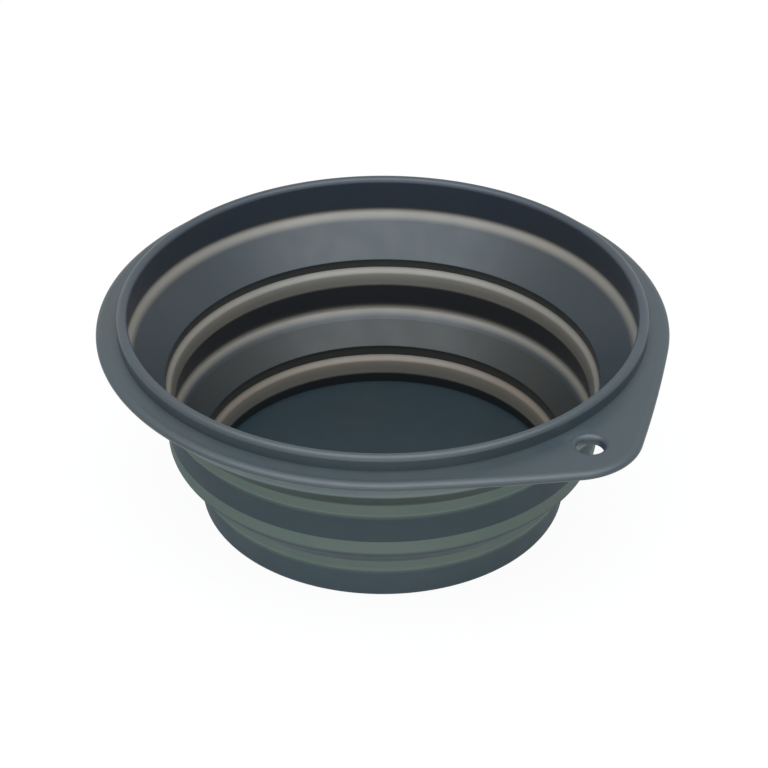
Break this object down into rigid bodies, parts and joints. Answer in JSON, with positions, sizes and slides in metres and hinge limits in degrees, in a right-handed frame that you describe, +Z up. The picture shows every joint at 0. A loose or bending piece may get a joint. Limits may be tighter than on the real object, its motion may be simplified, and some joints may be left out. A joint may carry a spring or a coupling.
{
  "type": "collapsible bowl",
  "caption": "Round collapsible silicone bowl on a flat foot, with stepped walls that fold inside out, a rolled lip and a flange drawn out into a hang tab with a hole.",
  "frame": {"origin": "centre of the flat foot, on the bowl's axis, at table height", "axes": "+Z up along the bowl's axis, +X from the axis through the hole of the hang tab"},
  "size_m": [0.1953, 0.18, 0.0702],
  "materials": {
    "slate_silicone": "matt slate-grey moulded silicone with a soft sheen",
    "hinge_silicone": "matt warm grey moulded silicone, softer and a little lighter"
  },
  "bodies": {
    "base": {"base": "slate_silicone", "base_hinge": "hinge_silicone", "lower_web": "slate_silicone"},
    "middle": {"ring_foot_hinge": "hinge_silicone", "middle_ring": "slate_silicone", "ring_top_hinge": "hinge_silicone", "upper_web": "slate_silicone"},
    "rim": {"rim_hinge": "hinge_silicone", "rim": "slate_silicone"}
  },
  "joints": [
    {"name": "lower_fold", "type": "slide", "parent": "base", "child": "middle", "axis": [0, 0, -1], "range_m": [0, 0.021], "deforming": ["lower_web"]},
    {"name": "upper_fold", "type": "slide", "parent": "middle", "child": "rim", "axis": [0, 0, -1], "range_m": [0, 0.026], "deforming": ["upper_web"]}
  ]
}
